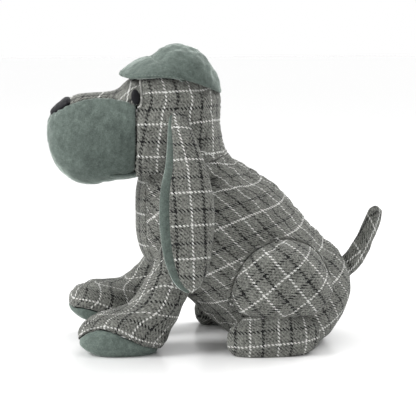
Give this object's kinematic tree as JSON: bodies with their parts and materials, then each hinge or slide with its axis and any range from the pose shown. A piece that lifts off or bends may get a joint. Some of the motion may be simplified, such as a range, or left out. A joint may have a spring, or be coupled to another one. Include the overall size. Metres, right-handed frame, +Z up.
{
  "type": "plush dog",
  "caption": "Sitting stuffed dog with long hanging ears, a big blunt muzzle and a flat cap, in checked tweed and sage velour.",
  "frame": {"origin": "on the ground, at the middle of the dog's width and length", "axes": "+Z up, the dog looks along -Y, its left side is +X"},
  "size_m": [0.1604, 0.3064, 0.2705],
  "materials": {
    "tweed": "matte",
    "sage_velour": "matte",
    "black_felt": "matte",
    "fibre_filling": "matte",
    "pellets": "matte",
    "white_thread": "matte"
  },
  "bodies": {
    "torso": {"belly_gusset": "tweed", "body_left": "tweed", "body_right": "tweed", "body_stuffing": "fibre_filling", "pellet_bag": "pellets", "thigh_left_cover": "tweed", "thigh_left_stuffing": "fibre_filling", "thigh_right_cover": "tweed", "thigh_right_stuffing": "fibre_filling", "hind_foot_left_cover": "tweed", "hind_foot_left_stuffing": "fibre_filling", "hind_foot_right_cover": "tweed", "hind_foot_right_stuffing": "fibre_filling"},
    "neck": {"neck_stuffing": "fibre_filling", "neck_thread": "white_thread"},
    "head": {"head_gusset": "tweed", "head_left": "tweed", "head_right": "tweed", "muzzle_left": "sage_velour", "muzzle_right": "sage_velour", "chin": "sage_velour", "nose": "black_felt", "eye_left": "black_felt", "eye_right": "black_felt", "head_stuffing": "fibre_filling", "cap_crown": "sage_velour", "cap_stuffing": "fibre_filling", "cap_brim": "sage_velour", "cap_band": "sage_velour"},
    "ear_left": {"ear_left_lining": "sage_velour", "ear_left_wadding": "fibre_filling", "ear_left_outside": "tweed"},
    "ear_right": {"ear_right_lining": "sage_velour", "ear_right_wadding": "fibre_filling", "ear_right_outside": "tweed"},
    "foreleg_left": {"foreleg_left_cover": "tweed", "foreleg_left_sole": "sage_velour", "foreleg_left_stuffing": "fibre_filling"},
    "foreleg_right": {"foreleg_right_cover": "tweed", "foreleg_right_sole": "sage_velour", "foreleg_right_stuffing": "fibre_filling"},
    "tail": {"tail_cover": "tweed", "tail_stuffing": "fibre_filling"}
  },
  "joints": [
    {"name": "head_turn", "type": "hinge", "parent": "torso", "child": "neck", "pos_m": [0, -0.034, 0.165], "axis": [0, -0.2079, 0.9781], "range_deg": [-15, 15]},
    {"name": "head_nod", "type": "hinge", "parent": "neck", "child": "head", "pos_m": [0, -0.034, 0.165], "axis": [1, 0, 0], "range_deg": [-12, 5]},
    {"name": "ear_left_lift", "type": "hinge", "parent": "head", "child": "ear_left", "pos_m": [0.0464, -0.04, 0.214], "axis": [0, -1, 0], "range_deg": [0, 90]},
    {"name": "ear_right_lift", "type": "hinge", "parent": "head", "child": "ear_right", "pos_m": [-0.0464, -0.04, 0.214], "axis": [0, 1, 0], "range_deg": [0, 90]},
    {"name": "foreleg_left_swing", "type": "hinge", "parent": "torso", "child": "foreleg_left", "pos_m": [0.038, -0.046, 0.084], "axis": [1, 0, 0], "range_deg": [-20, 16]},
    {"name": "foreleg_right_swing", "type": "hinge", "parent": "torso", "child": "foreleg_right", "pos_m": [-0.038, -0.038, 0.084], "axis": [1, 0, 0], "range_deg": [-16, 16]},
    {"name": "tail_wag", "type": "hinge", "parent": "torso", "child": "tail", "pos_m": [0, 0.116, 0.062], "axis": [0, 0, 1], "range_deg": [-40, 40]}
  ]
}
